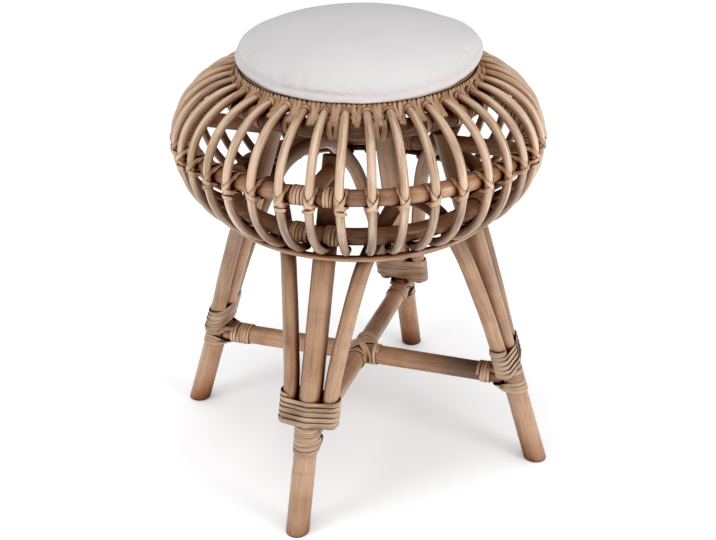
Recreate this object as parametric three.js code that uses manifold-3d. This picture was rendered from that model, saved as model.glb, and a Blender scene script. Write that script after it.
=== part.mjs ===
import * as THREE from "three";
import { mergeVertices } from "three/addons/utils/BufferGeometryUtils.js";
import Module from "manifold-3d";

// Rattan stool, millimetres, +Z up, floor at z = 0, centre of the stool on the Z axis.
// Front is -Y, the legs stand on the four diagonals.

// ---- driving dimensions ----
const GAP = 0.3; // kept between neighbouring pieces

const RIB_COUNT = 40;
const RIB_DIA = 9;
const RIB_CENTRE_R = 121.5; // centre of the C-shaped rib arc
const RIB_CENTRE_Z = 379.5;
const RIB_REACH = 74.5; // how far the waist stands out from the arc's centre
const RIB_RISE = 67.3; // arc centre up to the top of the rib
const RIB_DROP = 78.6; // arc centre down to the fold
const RIB_TOP_R = 119; // where the upper end of a rib stops
const RIB_TIP_R = 134.2; // where the curled-in lower end stops
const RIB_STEPS = 10;

const LEG_FOOT_R = 213.1; // foot centre from the stool's axis
const LEG_LEAN = 0.3086; // inward travel per mm of height
const LEG_TWIST = 0.0166; // sideways travel per mm of height, the same way round on each leg
const LEG_FOOT_DIA = 25;
const LEG_TOP_DIA = 24;
const LEG_TOP = 388; // the legs end just above the waist
const LEGS = { front_left: -135, front_right: -45, back_right: 45, back_left: 135 };

// level pole from the head of each leg out to the waist ring, cut off at x from the stool's axis
const SPUR = { dia: 17, z: 374.3, x: 172.3 };

const STRETCHER_DIA = 22;
const STRETCHER_Z = 103;

const ARCH_DIA = 17;
const ARCHES = { front: -135, right: -45, back: 45, left: 135 }; // leg where each one starts
// an arch beside its leg: [height, sideways from the leg's centre, outwards from the leg's centre]
const ARCH_FOOT = [
  [118, 23.0, 0],
  [160, 24.2, 0],
  [190, 27.2, 0],
  [225, 31.6, -1],
  [256, 36.6, -2.5],
  [281, 41.6, -5.5],
];
// the top of an arch: [degrees from its crown, distance from the axis, height, share of the bow]
const ARCH_CROWN = [
  [-19.5, 117.2, 309, 0.15],
  [-13.5, 109.6, 324.5, 0.5],
  [-7, 102.4, 334, 0.85],
  [0, 99.5, 337, 1],
  [7, 102.4, 334, 0.85],
  [13.5, 109.6, 324.5, 0.5],
  [19.5, 117.2, 309, 0.15],
];
const ARCH_BOW = { front: 0, right: 8, back: -12, left: 0 }; // each crown stands out or in by this much
const CROWN_TURN = 3; // the crown sits past the middle of the two legs by this many degrees
const ARCH_STEPS = 24;

const WAIST_RING = { dia: 17, r: 182.6, z: 379.8 };
const LOWER_RING = { dia: 18, r: 138, z: 317.8 };
const TOP_RING = { dia: 18, r: 137, z: 430.8 };
const BOTTOM_HOOP = { dia: 7, r: 146.4, z: 296.4 };

const PANEL_R = 126;
const PANEL_BOTTOM = 451.6;
const PANEL_THICK = 3.6;

const BAND_BOTTOM = 126;
const BAND_HEIGHT = 33;
const BAND_WALL = 1.7;
const BAND_CLEAR = 0.6;
const BAND_SPREAD = 24.1; // leg centre to arch foot centre

const CUSHION_BOTTOM = 455.6;
// half section of the cushion: [radius, height over its underside]
const CUSHION_PROFILE = [
  [0, 0], [60, 0], [116, 0], [123.6, 0.9], [127, 4.2], [128.3, 11], [128.4, 19.5],
  [127, 25], [121.8, 29.2], [111, 34], [96, 39.4], [76, 44.4], [52, 48.2], [26, 50.2], [0, 50.8],
];

// ---- helpers ----
const wasm = await Module();
wasm.setup();

const rad = THREE.MathUtils.degToRad;
const polar = (deg, r, z) => new THREE.Vector3(r * Math.cos(rad(deg)), r * Math.sin(rad(deg)), z);
const legR = (z) => LEG_FOOT_R - LEG_LEAN * z;
// a point beside a leg: sideways and outwards from its centre at height z
const byLeg = (deg, z, aside = 0, out = 0) =>
  polar(deg, legR(z) + out, z).add(polar(deg + 90, LEG_TWIST * z + aside, 0));

// A three.js geometry as a solid that can be cut, and back.
function toSolid(geometry) {
  const g = geometry.clone();
  g.deleteAttribute("normal");
  g.deleteAttribute("uv");
  const m = mergeVertices(g, 1e-3);
  return new wasm.Manifold(
    new wasm.Mesh({
      numProp: 3,
      vertProperties: new Float32Array(m.attributes.position.array),
      triVerts: new Uint32Array(m.index.array),
    }),
  );
}

function toGeometry(solid) {
  const m = solid.getMesh();
  const g = new THREE.BufferGeometry();
  g.setAttribute("position", new THREE.BufferAttribute(new Float32Array(m.vertProperties), 3));
  g.setIndex(new THREE.BufferAttribute(new Uint32Array(m.triVerts), 1));
  const flat = g.toNonIndexed();
  flat.computeVertexNormals();
  return flat;
}

// Outline of a round rod's section.
const roundSection = (dia, sides) =>
  new THREE.Shape(
    Array.from({ length: sides }, (_, j) => {
      const a = (2 * Math.PI * (j + 0.5)) / sides;
      return new THREE.Vector2((dia / 2) * Math.cos(a), (dia / 2) * Math.sin(a));
    }),
  );

const rodAlong = (path, dia, sides, steps) =>
  new THREE.ExtrudeGeometry(roundSection(dia, sides), { steps, extrudePath: path });

const box = (x0, x1, y0, y1, z0, z1) =>
  new THREE.BoxGeometry(x1 - x0, y1 - y0, z1 - z0).translate((x0 + x1) / 2, (y0 + y1) / 2, (z0 + z1) / 2);

const stool = new THREE.Group();
stool.name = "stool";

function add(group, name, geometry, colour, roughness = 0.5) {
  const mesh = new THREE.Mesh(
    geometry,
    new THREE.MeshStandardMaterial({ name: name + "_finish", color: colour, roughness, metalness: 0 }),
  );
  mesh.name = name;
  group.add(mesh);
  return mesh;
}

// ---- basket: ribs bowed out to the waist and curled in at the bottom, and their rings ----
const basket = new THREE.Group();
basket.name = "basket";
stool.add(basket);

class RibArc extends THREE.Curve {
  getPoint(t, target = new THREE.Vector3()) {
    // the angle runs from the top (90) through the waist (0) to the fold (-90)
    const top = 90 + THREE.MathUtils.radToDeg(Math.asin((RIB_CENTRE_R - RIB_TOP_R) / RIB_REACH));
    const tip = -90 + THREE.MathUtils.radToDeg(Math.asin((RIB_TIP_R - RIB_CENTRE_R) / RIB_REACH));
    const a = rad(top + (tip - top) * t);
    return target.set(
      RIB_CENTRE_R + RIB_REACH * Math.cos(a),
      0,
      RIB_CENTRE_Z + (Math.sin(a) > 0 ? RIB_RISE : RIB_DROP) * Math.sin(a),
    );
  }
}
const pitch = 360 / RIB_COUNT;
for (let k = 0; k < RIB_COUNT; k++) {
  const rib = add(
    basket,
    "rib_" + String(k + 1).padStart(2, "0"),
    rodAlong(new RibArc(), RIB_DIA, 8, RIB_STEPS),
    0xc8a27d,
    0.48,
  );
  rib.rotation.z = rad(pitch * (k + 0.5));
}

const hoop = (name, { dia, r, z }, sides, colour) => {
  const mesh = add(basket, name, new THREE.TorusGeometry(r, dia / 2, sides, RIB_COUNT), colour);
  mesh.position.z = z;
  mesh.rotation.z = rad(pitch / 2);
};
hoop("waist_ring", WAIST_RING, 8, 0xa9744b);
hoop("lower_ring", LOWER_RING, 8, 0xb07d55);
hoop("top_ring", TOP_RING, 8, 0xb78a63);
hoop("bottom_hoop", BOTTOM_HOOP, 6, 0xb98d66);

// ---- seat panel laid on the rib ends ----
const panel = add(stool, "seat_panel", new THREE.CylinderGeometry(PANEL_R, PANEL_R, PANEL_THICK, 64), 0xc7a681, 0.6);
panel.rotation.x = Math.PI / 2;
panel.position.z = PANEL_BOTTOM + PANEL_THICK / 2;

// ---- legs: straight poles cut flat at the floor and above the waist, each with its spur ----
const undercarriage = new THREE.Group();
undercarriage.name = "undercarriage";
stool.add(undercarriage);

function legSolid(deg, grow = 0) {
  const z0 = -30,
    z1 = LEG_TOP + 30;
  const a = byLeg(deg, z0),
    b = byLeg(deg, z1);
  const radius = (z) => (LEG_FOOT_DIA + ((LEG_TOP_DIA - LEG_FOOT_DIA) * z) / LEG_TOP) / 2 + grow;
  const pole = new THREE.CylinderGeometry(radius(z1), radius(z0), a.distanceTo(b), 16)
    .applyQuaternion(
      new THREE.Quaternion().setFromUnitVectors(new THREE.Vector3(0, 1, 0), b.clone().sub(a).normalize()),
    )
    .translate((a.x + b.x) / 2, (a.y + b.y) / 2, (a.z + b.z) / 2);
  return toSolid(pole);
}
function spurSolid(deg) {
  const inner = legR(SPUR.z);
  return toSolid(
    new THREE.CylinderGeometry(SPUR.dia / 2, SPUR.dia / 2, SPUR.x - inner, 16)
      .rotateZ(Math.PI / 2)
      .translate((SPUR.x + inner) / 2, LEG_TWIST * SPUR.z, SPUR.z)
      .rotateZ(rad(deg)),
  );
}
const between = toSolid(box(-400, 400, -400, 400, 0, LEG_TOP));
for (const [side, deg] of Object.entries(LEGS))
  add(undercarriage, "leg_" + side, toGeometry(legSolid(deg).intersect(between).add(spurSolid(deg))), 0xb5865c, 0.45);

// ---- stretchers: two poles across, half-lapped in the middle, hollowed to fit the legs ----
function stretcher(deg, keepUpper) {
  const reach = legR(STRETCHER_Z);
  const turn = rad(deg) + Math.atan((LEG_TWIST * STRETCHER_Z) / reach); // from leg centre to leg centre
  let s = toSolid(
    new THREE.CylinderGeometry(STRETCHER_DIA / 2, STRETCHER_DIA / 2, 2 * reach, 16, 2)
      .rotateZ(Math.PI / 2)
      .rotateZ(turn)
      .translate(0, 0, STRETCHER_Z),
  );
  for (const end of [deg, deg + 180]) {
    const beyond = toSolid(box(reach - 1, 400, -60, 60, 0, 250).rotateZ(rad(end)));
    s = s.subtract(legSolid(end, GAP)).subtract(beyond);
  }
  const half = STRETCHER_DIA / 2 + GAP;
  const notch = keepUpper
    ? box(-half, half, -60, 60, 0, STRETCHER_Z + GAP / 2)
    : box(-half, half, -60, 60, STRETCHER_Z - GAP / 2, 250);
  return toGeometry(s.subtract(toSolid(notch.rotateZ(turn))));
}
add(undercarriage, "stretcher_front_left_to_back_right", stretcher(45, false), 0xb9814f, 0.45);
add(undercarriage, "stretcher_front_right_to_back_left", stretcher(135, true), 0xb9814f, 0.45);

// ---- arches: one bent rod between each two neighbouring legs ----
for (const [side, start] of Object.entries(ARCHES)) {
  const rise = ARCH_FOOT.map(([z, aside, out]) => byLeg(start, z, aside, out));
  const crown = ARCH_CROWN.map(([d, r, z, bow]) =>
    polar(start + 45 + CROWN_TURN + d, r + bow * ARCH_BOW[side], z),
  );
  const fall = ARCH_FOOT.map(([z, aside, out]) => byLeg(start + 90, z, -aside, out)).reverse();
  const path = new THREE.CatmullRomCurve3([...rise, ...crown, ...fall], false, "centripetal");
  add(undercarriage, "arch_" + side, rodAlong(path, ARCH_DIA, 8, ARCH_STEPS), 0xa87750, 0.5);
}

// ---- bands of binding that hold two arch feet to each leg ----
// The outline is the tight loop round three discs: the leg and the two arch feet.
function loopRound(grow) {
  const discs = [
    [0, LEG_FOOT_DIA / 2 + BAND_CLEAR + grow],
    [BAND_SPREAD, ARCH_DIA / 2 + BAND_CLEAR + grow],
    [-BAND_SPREAD, ARCH_DIA / 2 + BAND_CLEAR + grow],
  ];
  return Array.from({ length: 28 }, (_, j) => {
    const a = (2 * Math.PI * (j + 0.5)) / 28;
    const dx = Math.cos(a),
      dy = Math.sin(a);
    const [c, r] = discs.reduce((m, v) => (v[0] * dx + v[1] > m[0] * dx + m[1] ? v : m));
    return new THREE.Vector2(r * dy * 1.06, c + r * dx);
  }).reverse();
}
for (const [side, deg] of Object.entries(LEGS)) {
  const outline = new THREE.Shape(loopRound(BAND_WALL));
  outline.holes.push(new THREE.Path(loopRound(0)));
  const lean = new THREE.Matrix4().set(1, 0, -LEG_LEAN, 0, 0, 1, LEG_TWIST, 0, 0, 0, 1, 0, 0, 0, 0, 1);
  const band = new THREE.ExtrudeGeometry(outline, { depth: BAND_HEIGHT, bevelEnabled: false }).applyMatrix4(lean);
  const mesh = add(undercarriage, "binding_" + side, band, 0xc09a72, 0.55);
  mesh.rotation.z = rad(deg);
  mesh.position.copy(byLeg(deg, BAND_BOTTOM));
}

// ---- loose round cushion ----
const cushion = add(
  stool,
  "cushion",
  new THREE.LatheGeometry(
    CUSHION_PROFILE.map(([r, h]) => new THREE.Vector2(r, h)),
    40,
  ),
  0xe9e3de,
  0.9,
);
cushion.rotation.x = Math.PI / 2;
cushion.position.z = CUSHION_BOTTOM;

export default stool;
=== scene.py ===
import math
import random

import bpy
import numpy as np
from mathutils import Matrix, Vector


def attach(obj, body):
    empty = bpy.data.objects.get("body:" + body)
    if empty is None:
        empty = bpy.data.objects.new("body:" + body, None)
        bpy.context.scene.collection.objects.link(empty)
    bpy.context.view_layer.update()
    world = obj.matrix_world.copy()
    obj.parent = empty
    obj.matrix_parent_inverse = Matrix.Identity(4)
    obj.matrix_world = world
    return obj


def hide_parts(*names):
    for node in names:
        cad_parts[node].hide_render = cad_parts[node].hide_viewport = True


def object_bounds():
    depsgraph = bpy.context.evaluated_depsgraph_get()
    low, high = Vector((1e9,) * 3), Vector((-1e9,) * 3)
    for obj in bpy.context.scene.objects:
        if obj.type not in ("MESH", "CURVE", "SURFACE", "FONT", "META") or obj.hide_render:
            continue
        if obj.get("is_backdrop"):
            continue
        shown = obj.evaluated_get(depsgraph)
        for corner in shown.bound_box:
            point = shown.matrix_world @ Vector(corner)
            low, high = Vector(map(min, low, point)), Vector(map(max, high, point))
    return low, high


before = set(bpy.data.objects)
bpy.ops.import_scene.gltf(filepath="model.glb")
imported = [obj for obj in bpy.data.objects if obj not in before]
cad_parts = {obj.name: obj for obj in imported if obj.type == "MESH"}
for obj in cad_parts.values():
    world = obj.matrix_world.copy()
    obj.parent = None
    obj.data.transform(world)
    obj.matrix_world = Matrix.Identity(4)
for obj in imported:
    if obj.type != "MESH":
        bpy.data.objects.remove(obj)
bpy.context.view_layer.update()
scene = bpy.context.scene

# ---------------------------------------------------------------- camera
TURN = math.radians(-26.1)
lens_px, roll = 1310.26, -0.010
eye, aim = Vector((0, -1.326, 0.885)), Vector((-0.0018, 0, 0.2102))
ahead = (aim - eye).normalized()
right = ahead.cross(Vector((0, 0, 1))).normalized()
up = right.cross(ahead)
side = math.cos(roll) * right + math.sin(roll) * up
top = -math.sin(roll) * right + math.cos(roll) * up
spin = Matrix.Rotation(TURN, 4, "Z")
cam_data = bpy.data.cameras.new("camera")
cam_data.sensor_fit = "HORIZONTAL"
cam_data.sensor_width = 36
cam_data.lens = lens_px / 716 * 36
cam_data.clip_start, cam_data.clip_end = 0.05, 60
camera = bpy.data.objects.new("camera", cam_data)
scene.collection.objects.link(camera)
rows = Matrix((side, top, -ahead)).transposed().to_4x4()
camera.matrix_world = spin @ Matrix.Translation(eye) @ rows
scene.camera = camera

# ---------------------------------------------------------------- sizes, as in the CAD
RIBS, RIB_R = 40, 4.5
ARC_R, ARC_Z, REACH, RISE, DROP = 121.5, 379.5, 74.5, 67.3, 78.6
TOP_A = 90 + math.degrees(math.asin((121.5 - 119) / 74.5))
TIP_A = -90 + math.degrees(math.asin((134.2 - 121.5) / 74.5))
WAIST = (182.6, 379.8, 8.5)
LOWER = (138.0, 317.8, 9.0)
UPPER = (137.0, 430.8, 9.0)
HOOP = (146.4, 296.4, 3.5)
FOOT_R, LEAN, TWIST, LEG_TOP = 213.1, 0.3086, 0.0166, 388.0
SPUR_Z, SPUR_R = 374.3, 8.5
LEGS = {"front_left": -135, "front_right": -45, "back_right": 45, "back_left": 135}
ARCHES = {"front": -135, "right": -45, "back": 45, "left": 135}
ARCH_FOOT = [(115, 21.6, 0), (160, 23.1, 0), (190, 26.7, 0), (225, 31.6, -1), (256, 36.6, -2.5), (281, 41.6, -5.5)]
ARCH_CROWN = [(-19.5, 117.2, 309, 0.15), (-13.5, 109.6, 324.5, 0.5), (-7, 102.4, 334, 0.85), (0, 99.5, 337, 1),
              (7, 102.4, 334, 0.85), (13.5, 109.6, 324.5, 0.5), (19.5, 117.2, 309, 0.15)]
ARCH_BOW = {"front": 0, "right": 8, "back": -12, "left": 0}
CROSS_Z = 103.0
PANEL_LOW, PANEL_HIGH, PANEL_R = 451.6, 455.2, 126.0
SEAT_Z, CROWN_Z, CUSHION_R = 455.6, 506.4, 128.4

K = 0.001
dice = random.Random(11)


def polar(deg, r, z=0.0):
    a = math.radians(deg)
    return np.array([r * math.cos(a), r * math.sin(a), z])


def by_leg(deg, z, aside=0.0, out=0.0):
    return polar(deg, FOOT_R - LEAN * z + out, z) + polar(deg + 90, TWIST * z + aside, 0)


def unit(v):
    v = np.asarray(v, float)
    n = np.linalg.norm(v, axis=-1, keepdims=True)
    return v / np.where(n < 1e-12, 1, n)


def waver(x, seed, *waves):
    """Smooth seeded variation from -1 to 1 along x."""
    d = random.Random(seed)
    out = np.zeros_like(np.asarray(x, float))
    for w in waves:
        out += math.sqrt(1 / len(waves)) * np.sin(np.asarray(x) * (2 * math.pi / w) + d.uniform(0, 6.28)) * d.uniform(0.7, 1)
    return out


def smooth(points, steps, closed=False):
    """Centripetal curve through the points: rows of any width, the first three columns a position."""
    p = np.asarray(points, float)
    if closed:
        p = np.vstack([p[-1], p, p[0], p[1]])
    else:
        p = np.vstack([2 * p[0] - p[1], p, 2 * p[-1] - p[-2]])
    out = []
    for i in range(1, len(p) - 2):
        a, b, c, d = p[i - 1], p[i], p[i + 1], p[i + 2]
        t1 = max(np.linalg.norm((b - a)[:3]) ** 0.5, 1e-4)
        t2 = t1 + max(np.linalg.norm((c - b)[:3]) ** 0.5, 1e-4)
        t3 = t2 + max(np.linalg.norm((d - c)[:3]) ** 0.5, 1e-4)
        t = np.linspace(t1, t2, steps, endpoint=False)[:, None]
        ab = a * (t1 - t) / t1 + b * t / t1
        bc = b * (t2 - t) / (t2 - t1) + c * (t - t1) / (t2 - t1)
        cd = c * (t3 - t) / (t3 - t2) + d * (t - t2) / (t3 - t2)
        abc = ab * (t2 - t) / t2 + bc * t / t2
        bcd = bc * (t3 - t) / (t3 - t1) + cd * (t - t1) / (t3 - t1)
        out.append(abc * (t2 - t) / (t2 - t1) + bcd * (t - t1) / (t2 - t1))
    out = np.vstack(out)
    return out if closed else np.vstack([out, p[-2]])


def lengths(p, closed=False):
    d = np.linalg.norm(np.diff(p, axis=0), axis=1)
    return np.concatenate([[0], np.cumsum(d)])


def resample(p, step, closed=False):
    """Points spaced evenly along a line."""
    q = np.vstack([p, p[:1]]) if closed else p
    s = np.concatenate([[0], np.cumsum(np.linalg.norm(np.diff(q[:, :3], axis=0), axis=1))])
    n = max(4, int(round(s[-1] / step)))
    t = np.linspace(0, s[-1], n, endpoint=False) if closed else np.linspace(0, s[-1], n + 1)
    return np.stack([np.interp(t, s, q[:, k]) for k in range(q.shape[1])], 1)


# ---------------------------------------------------------------- rods and strips gathered into meshes
class Pile:
    """Rods and strips in one mesh. Each point keeps where it is in its own rod, for the grain."""

    def __init__(self):
        self.v, self.rod, self.tint, self.joint, self.tone = [], [], [], [], []
        self.quads, self.fans, self.n = [], [], 0

    def lay(self, rings, rods, tint, closed, joint=None, tone=0.0):
        """rings: (stations, sides, 3) points, and the same shape of grain coordinates."""
        m, k = rings.shape[:2]
        self.v.append(rings.reshape(-1, 3))
        self.rod.append(rods.reshape(-1, 3))
        self.tint.append(np.full(m * k, tint))
        self.joint.append(np.zeros(m * k) if joint is None else np.repeat(joint, k))
        self.tone.append(np.repeat(np.broadcast_to(np.asarray(tone, float), (m,)), k))
        i = np.arange(m if closed else m - 1)[:, None]
        j = np.arange(k)[None, :]
        i2, j2 = (i + 1) % m, (j + 1) % k
        q = np.stack([i * k + j, i * k + j2, i2 * k + j2, i2 * k + j], -1).reshape(-1, 4) + self.n
        self.quads.append(q)
        if not closed:
            self.fans.append([self.n + x for x in range(k)][::-1])
            self.fans.append([self.n + (m - 1) * k + x for x in range(k)])
        self.n += m * k

    def make(self, name, material, body="frame", replaces=()):
        v = np.vstack(self.v) * K
        faces = [tuple(f) for f in np.vstack(self.quads).tolist()] + [tuple(f) for f in self.fans]
        me = bpy.data.meshes.new(name)
        me.from_pydata(v.tolist(), [], faces)
        me.attributes.new("rod", "FLOAT_VECTOR", "POINT").data.foreach_set(
            "vector", (np.vstack(self.rod) * K).astype(np.float32).ravel())
        me.attributes.new("tint", "FLOAT", "POINT").data.foreach_set(
            "value", np.concatenate(self.tint).astype(np.float32))
        me.attributes.new("joint", "FLOAT", "POINT").data.foreach_set(
            "value", np.concatenate(self.joint).astype(np.float32))
        me.attributes.new("tone", "FLOAT", "POINT").data.foreach_set(
            "value", np.concatenate(self.tone).astype(np.float32))
        me.polygons.foreach_set("use_smooth", np.ones(len(me.polygons), bool))
        me.update()
        return settle(bpy.data.objects.new(name, me), material, body, replaces)


def settle(obj, material, body="frame", replaces=()):
    if obj.name not in scene.collection.objects:
        scene.collection.objects.link(obj)
    obj.data.materials.clear()
    obj.data.materials.append(material)
    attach(obj, body)
    if replaces:
        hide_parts(*replaces)
    return obj


def tangents(p, closed):
    t = np.roll(p, -1, 0) - np.roll(p, 1, 0) if closed else np.gradient(p, axis=0)
    return unit(t)


def carried(t, start):
    """Normals carried along a line without twist."""
    n = np.zeros_like(t)
    n[0] = unit(start - (start @ t[0]) * t[0])
    for i in range(1, len(t)):
        v = n[i - 1] - (n[i - 1] @ t[i]) * t[i]
        n[i] = unit(v)
    return n


def tube(pile, path, radius, sides=14, closed=False, ends=("round", "round"), ref=None, tint=None, joint=None,
         level=False, tone=0.0):
    """A rod along the path. ref holds one direction, or one for each point, that the section turns with."""
    p = np.asarray(path, float)
    t = tangents(p, closed)
    r = np.broadcast_to(np.asarray(radius, float), (len(p),)).copy()
    jn = np.zeros(len(p)) if joint is None else np.asarray(joint, float).copy()
    tn = np.broadcast_to(np.asarray(tone, float), (len(p),)).copy()
    if ref is None:
        n = carried(t, np.array([0.31, 0.52, 0.8]) if abs(t[0][2]) < 0.9 else np.array([1.0, 0.1, 0]))
    else:
        ref = np.broadcast_to(np.asarray(ref, float), p.shape)
        n = unit(ref - (ref * t).sum(1, keepdims=True) * t)
    if not closed:
        for end in (0, 1):
            kind = ends[end]
            at, out = (0, -t[0]) if end == 0 else (-1, t[-1])
            if kind == "round":
                phi = np.radians([25, 48, 68, 84])
                reach, size = 0.72 * np.sin(phi), np.cos(phi)
            elif kind == "cut":
                reach, size = np.array([0.04, 0.1, 0.12]), np.array([0.985, 0.9, 0.72])
            else:
                continue
            extra_p = p[at] + out * (reach * r[at])[:, None]
            extra_r = size * r[at]
            m = len(reach)
            if end == 0:
                extra_p, extra_r = extra_p[::-1], extra_r[::-1]
                p, r = np.vstack([extra_p, p]), np.concatenate([extra_r, r])
                t, n = np.vstack([np.repeat(t[:1], m, 0), t]), np.vstack([np.repeat(n[:1], m, 0), n])
                jn = np.concatenate([np.zeros(m), jn])
                tn = np.concatenate([np.full(m, tn[0] - 0.25), tn])
            else:
                p, r = np.vstack([p, extra_p]), np.concatenate([r, extra_r])
                t, n = np.vstack([t, np.repeat(t[-1:], m, 0)]), np.vstack([n, np.repeat(n[-1:], m, 0)])
                jn = np.concatenate([jn, np.zeros(m)])
                tn = np.concatenate([tn, np.full(m, tn[-1] - 0.25)])
    b = np.cross(t, n)
    a = np.linspace(0, 2 * math.pi, sides, endpoint=False)
    off = r[:, None, None] * (np.cos(a)[None, :, None] * n[:, None] + np.sin(a)[None, :, None] * b[:, None])
    rings = p[:, None] + off
    s = lengths(p)
    if level:  # slide each ring along the pole until it lies level
        w = np.clip((60 - p[:, 2]) / 45, 0, 1)[:, None]
        slide = -w * off[:, :, 2] / t[:, None, 2]
        rings = rings + slide[:, :, None] * t[:, None]
    rods = np.stack([np.broadcast_to(r[:, None] * np.cos(a), off.shape[:2]),
                     np.broadcast_to(r[:, None] * np.sin(a), off.shape[:2]),
                     np.broadcast_to(s[:, None], off.shape[:2])], -1)
    pile.lay(rings, rods, dice.random() if tint is None else tint, closed, jn, tn)


PEEL = np.array([(-0.5, 0.0), (-0.49, 0.5), (-0.40, 0.86), (0, 1.0), (0.40, 0.86), (0.49, 0.5), (0.5, 0.0), (0, 0.06)])


def strip(pile, path, normals, width=4.4, thick=1.0, closed=False, tint=None, taper=True, tone=0.0):
    """A ribbon of peel lying on a surface: path is its underside, normals point away from what it wraps."""
    p = np.asarray(path, float)
    t = tangents(p, closed)
    n = unit(normals - (normals * t).sum(1, keepdims=True) * t)
    across = np.cross(t, n)
    s = lengths(p)
    tint = dice.random() if tint is None else tint
    w = width * (1 + 0.07 * waver(s, int(tint * 1e6), 23, 61))
    h = np.full(len(p), float(thick))
    if not closed and taper:
        edge = np.clip(np.minimum(s, s[-1] - s) / (0.6 * width), 0, 1)
        w, h = w * (0.55 + 0.45 * edge), h * (0.45 + 0.55 * edge)
    rings = p[:, None] + w[:, None, None] * PEEL[None, :, 0, None] * across[:, None] \
        + h[:, None, None] * PEEL[None, :, 1, None] * n[:, None]
    rods = np.stack([w[:, None] * PEEL[None, :, 0], h[:, None] * PEEL[None, :, 1], np.repeat(s[:, None], 8, 1)], -1)
    run = np.concatenate([[0], np.cumsum(np.linalg.norm(np.diff(path, axis=0), axis=1))])
    shade = tone + (0 if closed else 0.24) * waver(run, 5000 + int(1000 * (tint or 0.5)), 31, 83)
    pile.lay(rings, rods, tint, closed, None, shade)


class Rod:
    """A rod's centre line, so that a strip can be laid on it."""

    def __init__(self, line, radius):
        self.p = resample(np.asarray(line, float), 0.8)
        self.t = tangents(self.p, False)
        self.r = radius

    def near(self, q):
        d = ((q[:, None] - self.p[None]) ** 2).sum(2)
        i = d.argmin(1)
        v = q - self.p[i]
        along = (v * self.t[i]).sum(1)
        past = ((i == 0) & (along < -0.5)) | ((i == len(self.p) - 1) & (along > 0.5))
        v = v - np.where(past, 0, along)[:, None] * self.t[i]
        return v, np.linalg.norm(v, axis=1)


def lash(pile, ctrl, rods, closed=True, lift=0.1, width=4.4, thick=1.0, steps=7, tint=None, rounds=3, tone=0.0):
    """A strip through control points, pushed out of the rods it passes and lying flat on the nearest one."""
    p = resample(smooth(ctrl, steps, closed), 1.3, closed)
    for _ in range(rounds):
        for rod in rods:
            v, d = rod.near(p)
            push = np.clip(rod.r + lift - d, 0, None)
            p = p + unit(v) * push[:, None]
        if closed:
            p = 0.5 * p + 0.25 * (np.roll(p, 1, 0) + np.roll(p, -1, 0))
        else:
            p[1:-1] = 0.5 * p[1:-1] + 0.25 * (p[2:] + p[:-2])
    total = np.zeros_like(p)
    for rod in rods:
        v, d = rod.near(p)
        push = np.clip(rod.r + lift - d, 0, None)
        p = p + unit(v) * push[:, None]
        total += unit(v) * np.exp(-np.clip(d - rod.r, 0, 30) / 1.6)[:, None]
    n = unit(total)
    for _ in range(3):
        if closed:
            n = unit(n + 0.6 * (np.roll(n, 1, 0) + np.roll(n, -1, 0)))
        else:
            n[1:-1] = unit(n[1:-1] + 0.6 * (n[2:] + n[:-2]))
    strip(pile, p, n, width, thick, closed, tint, tone=tone)
    return p


def outline(circles, grow, count=96):
    """The tight loop round several discs: points, outward directions and lengths, evenly spaced."""
    a = np.linspace(0, 2 * math.pi, 1440, endpoint=False)
    d = np.stack([np.cos(a), np.sin(a)], 1)
    c = np.array([q[:2] for q in circles], float)
    r = np.array([q[2] for q in circles], float) + grow
    best = (d @ c.T + r).argmax(1)
    p = c[best] + r[best][:, None] * d
    return resample(np.hstack([p, d]), 0.01, True) if count is None else _even(np.hstack([p, d]), count)


def _even(rows, count):
    q = np.vstack([rows, rows[:1]])
    s = np.concatenate([[0], np.cumsum(np.linalg.norm(np.diff(q[:, :2], axis=0), axis=1))])
    t = np.linspace(0, s[-1], count, endpoint=False)
    return np.stack([np.interp(t, s, q[:, k]) for k in range(4)], 1), s[-1]


def coil(pile, circles, place, start, turns, pitch, width=4.6, thick=1.1, phase=0.0, grow=0.1, slope=None,
         count=72, tint=None, seed=0, tone=0.0):
    """A strip wound round the discs. place(h) gives the origin and the two directions of the discs at height h."""
    rows, around = outline(circles, grow, count)
    m = int(turns * count) + 1
    tau = np.arange(m) / count + phase
    f = (tau % 1) * count
    i0 = np.floor(f).astype(int) % count
    i1 = (i0 + 1) % count
    w = (f - np.floor(f))[:, None]
    q = rows[i0] * (1 - w) + rows[i1] * w
    h = start + pitch * np.arange(m) / count
    h = h + 0.35 * waver(np.arange(m) / count, seed + 5, 0.83, 1.7, 3.1)
    if slope is not None:
        h = h + slope(q[:, 0], q[:, 1])
    pts, nor = np.zeros((m, 3)), np.zeros((m, 3))
    loose = 0.18 + 0.18 * waver(np.arange(m) / count, seed + 9, 0.61, 1.9)
    for k in range(m):
        o, e1, e2 = place(h[k])
        d = unit(q[k, 2:4])
        pts[k] = o + q[k, 0] * e1 + q[k, 1] * e2 + loose[k] * (d[0] * e1 + d[1] * e2)
        nor[k] = d[0] * e1 + d[1] * e2
    strip(pile, pts, nor, width, thick, False, tint, tone=tone)


# ---------------------------------------------------------------- materials
def graph(name):
    m = bpy.data.materials.new(name)
    m.use_nodes = True
    nt = m.node_tree
    nt.nodes.clear()
    out = nt.nodes.new("ShaderNodeOutputMaterial")
    bsdf = nt.nodes.new("ShaderNodeBsdfPrincipled")
    nt.links.new(bsdf.outputs[0], out.inputs[0])

    def node(kind, inputs=None, **props):
        n = nt.nodes.new("ShaderNode" + kind)
        for key, value in props.items():
            setattr(n, key, value)
        for key, value in (inputs or {}).items():
            s = n.inputs[key]
            if isinstance(value, bpy.types.NodeSocket):
                nt.links.new(value, s)
            else:
                s.default_value = value
        return n

    return m, bsdf, node


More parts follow.
